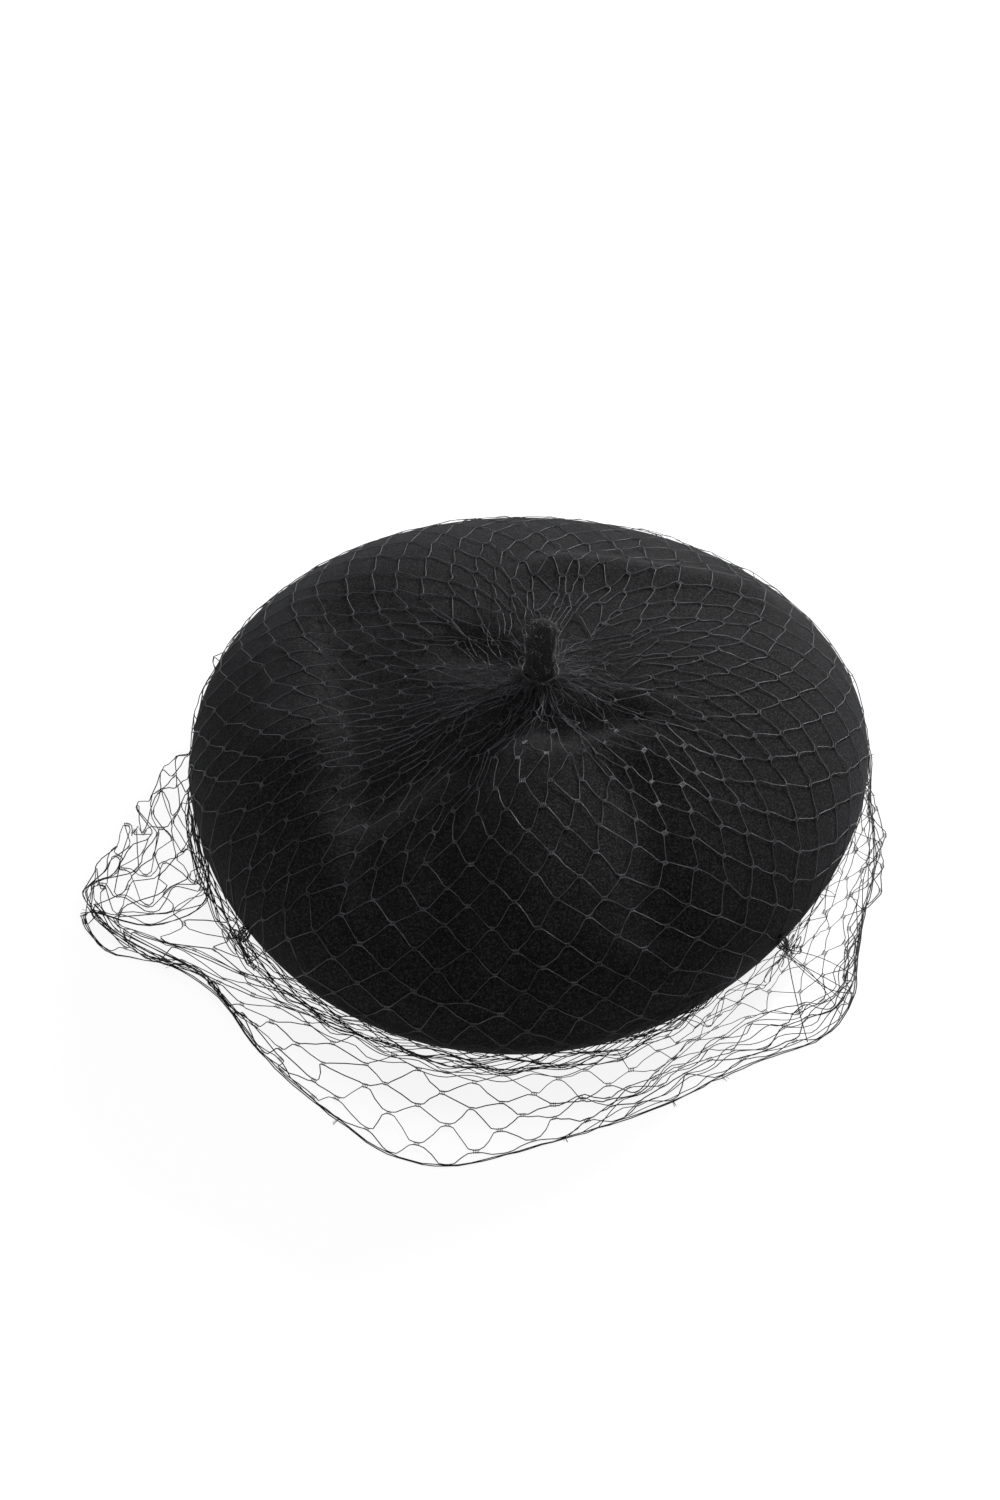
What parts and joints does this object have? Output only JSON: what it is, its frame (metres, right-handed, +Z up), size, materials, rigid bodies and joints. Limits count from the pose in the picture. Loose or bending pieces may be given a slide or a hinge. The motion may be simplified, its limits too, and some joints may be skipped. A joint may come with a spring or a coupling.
{
  "type": "veiled beret",
  "caption": "Round felt beret with a short stalk and an open net veil gathered on its crown, falling past the rim, with a front that lifts off the face.",
  "frame": {"origin": "middle of the bounding box, on the surface that the beret stands on", "axes": "+Z up through the stalk, +Y towards the back of the beret where the band's bow is, +X to the wearer's left side when the veil's front faces -Y"},
  "size_m": [0.3354, 0.3232, 0.1162],
  "materials": {
    "wool_felt": "matte black fulled wool felt",
    "veil_net": "black nylon netting thread, slight sheen",
    "sewing_thread": "black polyester sewing thread",
    "band": "black grained sweatband leather, satin",
    "ribbon": "black ribbed ribbon",
    "label_tape": "plain woven tape, charcoal"
  },
  "bodies": {
    "beret": {"felt_body": "wool_felt", "stalk": "wool_felt", "stalk_binding": "sewing_thread", "veil_crown": "veil_net", "veil_skirt": "veil_net", "sweatband": "band", "sweatband_stitching": "sewing_thread", "bow_knot": "ribbon", "bow_left_loop": "ribbon", "bow_left_tail": "ribbon", "bow_right_loop": "ribbon", "bow_right_tail": "ribbon", "label": "label_tape", "veil_tack_1": "sewing_thread", "veil_tack_2": "sewing_thread", "veil_tack_3": "sewing_thread", "veil_tack_4": "sewing_thread"},
    "veil_lift_body": {"veil_front": "veil_net"}
  },
  "joints": [
    {"name": "veil_lift", "type": "hinge", "parent": "beret", "child": "veil_lift_body", "pos_m": [0.01849, -0.13002, 0.031], "axis": [-1, 0, 0], "range_deg": [0, 110]}
  ]
}
